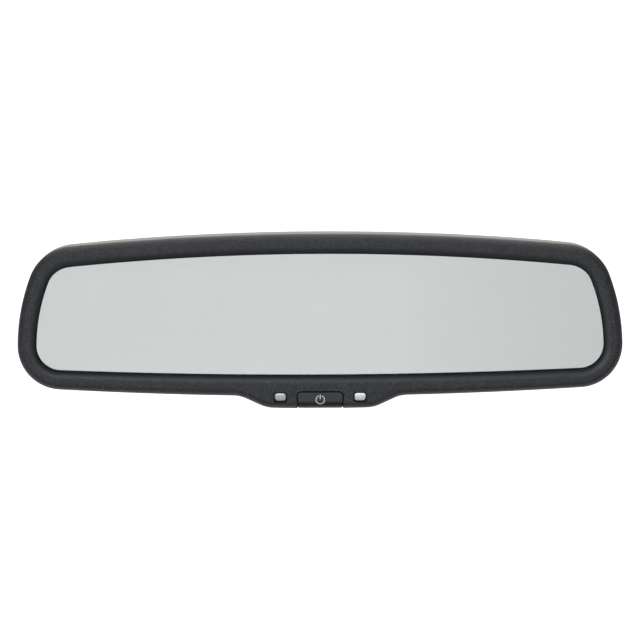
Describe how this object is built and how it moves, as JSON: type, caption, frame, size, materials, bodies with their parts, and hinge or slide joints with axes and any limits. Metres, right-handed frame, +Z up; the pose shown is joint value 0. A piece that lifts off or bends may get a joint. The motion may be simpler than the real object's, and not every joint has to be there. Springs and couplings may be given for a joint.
{
  "type": "interior rearview mirror",
  "caption": "Wide interior rearview mirror with a dark bezel, power button and two windows in the chin, on a two-ball arm with a windshield foot.",
  "frame": {"origin": "centre of the foot's windshield face, in the mouth of its channel", "axes": "+Z up, +Y forward to the windshield, +X to the right for someone facing the glass"},
  "size_m": [0.256, 0.106, 0.0741],
  "materials": {
    "bezel_plastic": "fine moulded grain, satin",
    "button_plastic": "fine moulded grain, satin",
    "symbol_ink": "translucent, bluish white",
    "housing_plastic": "fine moulded grain, light warm grey",
    "clear_glass": "polished",
    "mirror_coat": "second pane with a metal coat",
    "cell_gel": "clear gel",
    "seal_epoxy": "cured epoxy",
    "bus_strip": "bright strip",
    "foam_tape": "closed cell foam",
    "carrier_plastic": "moulded",
    "screw_steel": "zinc plated",
    "board_laminate": "solder mask",
    "chip_resin": "moulded resin",
    "can_aluminium": "bright can",
    "sensor_resin": "dark clear resin",
    "led_resin": "milky resin",
    "lens_clear": "clear window, slightly frosted",
    "lens_grey": "grey window, slightly frosted",
    "header_plastic": "moulded",
    "pin_gold": "plated",
    "socket_steel": "pressed steel",
    "socket_plastic": "moulded",
    "spring_steel": "spring steel",
    "liner_plastic": "natural acetal",
    "arm_steel": "drawn tube",
    "ball_steel": "plated",
    "sleeve_plastic": "fine moulded grain",
    "foot_metal": "die casting, black coat",
    "cap_plastic": "moulded, fluted grip"
  },
  "bodies": {
    "windshield_mount": {"mount_foot": "foot_metal", "foot_socket_cap": "cap_plastic", "set_screw": "screw_steel"},
    "foot_liner": {"foot_ball_liner": "liner_plastic"},
    "support_arm": {"arm_tube": "arm_steel", "arm_sleeve": "sleeve_plastic", "head_ball": "ball_steel", "foot_ball": "ball_steel"},
    "front_cup": {"head_front_cup": "liner_plastic"},
    "rear_cup": {"head_rear_cup": "liner_plastic"},
    "button": {"power_button": "button_plastic", "power_symbol": "symbol_ink", "switch_plunger": "liner_plastic"},
    "mirror_head": {"bezel": "bezel_plastic", "rear_housing": "housing_plastic", "back_cover": "housing_plastic", "front_glass": "clear_glass", "cell_seal": "seal_epoxy", "ec_gel": "cell_gel", "rear_glass": "mirror_coat", "upper_bus_clip": "bus_strip", "lower_bus_clip": "bus_strip", "adhesive_pad": "foam_tape", "carrier_plate": "carrier_plastic", "carrier_screws": "screw_steel", "circuit_board": "board_laminate", "board_screws": "screw_steel", "microcontroller": "chip_resin", "capacitors": "can_aluminium", "power_regulator": "chip_resin", "switch_body": "chip_resin", "glare_sensor": "sensor_resin", "glare_lens": "lens_clear", "indicator_led": "led_resin", "indicator_lens": "lens_grey", "ambient_sensor": "sensor_resin", "ambient_lens": "lens_clear", "connector_header": "header_plastic", "connector_pins": "pin_gold", "socket_plate": "socket_steel", "socket_retainer": "socket_plastic", "socket_spring": "spring_steel", "plate_screws": "screw_steel"}
  },
  "joints": [
    {"name": "arm_swing", "type": "hinge", "parent": "windshield_mount", "child": "foot_liner", "pos_m": [0, -0.02192, -0.01485], "axis": [0, 0, 1], "range_deg": [-15, 15]},
    {"name": "arm_tilt", "type": "hinge", "parent": "foot_liner", "child": "support_arm", "pos_m": [0, -0.02192, -0.01485], "axis": [1, 0, 0], "range_deg": [-12, 12]},
    {"name": "head_swivel", "type": "hinge", "parent": "support_arm", "child": "front_cup", "pos_m": [0, -0.06992, -0.01485], "axis": [0, 0, 1], "range_deg": [-22, 22]},
    {"name": "head_tilt", "type": "hinge", "parent": "front_cup", "child": "rear_cup", "pos_m": [0, -0.06992, -0.01485], "axis": [1, 0, 0], "range_deg": [-18, 18]},
    {"name": "head_roll", "type": "hinge", "parent": "rear_cup", "child": "mirror_head", "pos_m": [0, -0.06992, -0.01485], "axis": [0, 1, 0], "range_deg": [-15, 15]},
    {"name": "button_press", "type": "slide", "parent": "mirror_head", "child": "button", "axis": [0, 1, 0], "range_m": [0, 0.0008], "stiffness_N_per_m": 2000, "springref_m": -0.0005}
  ]
}
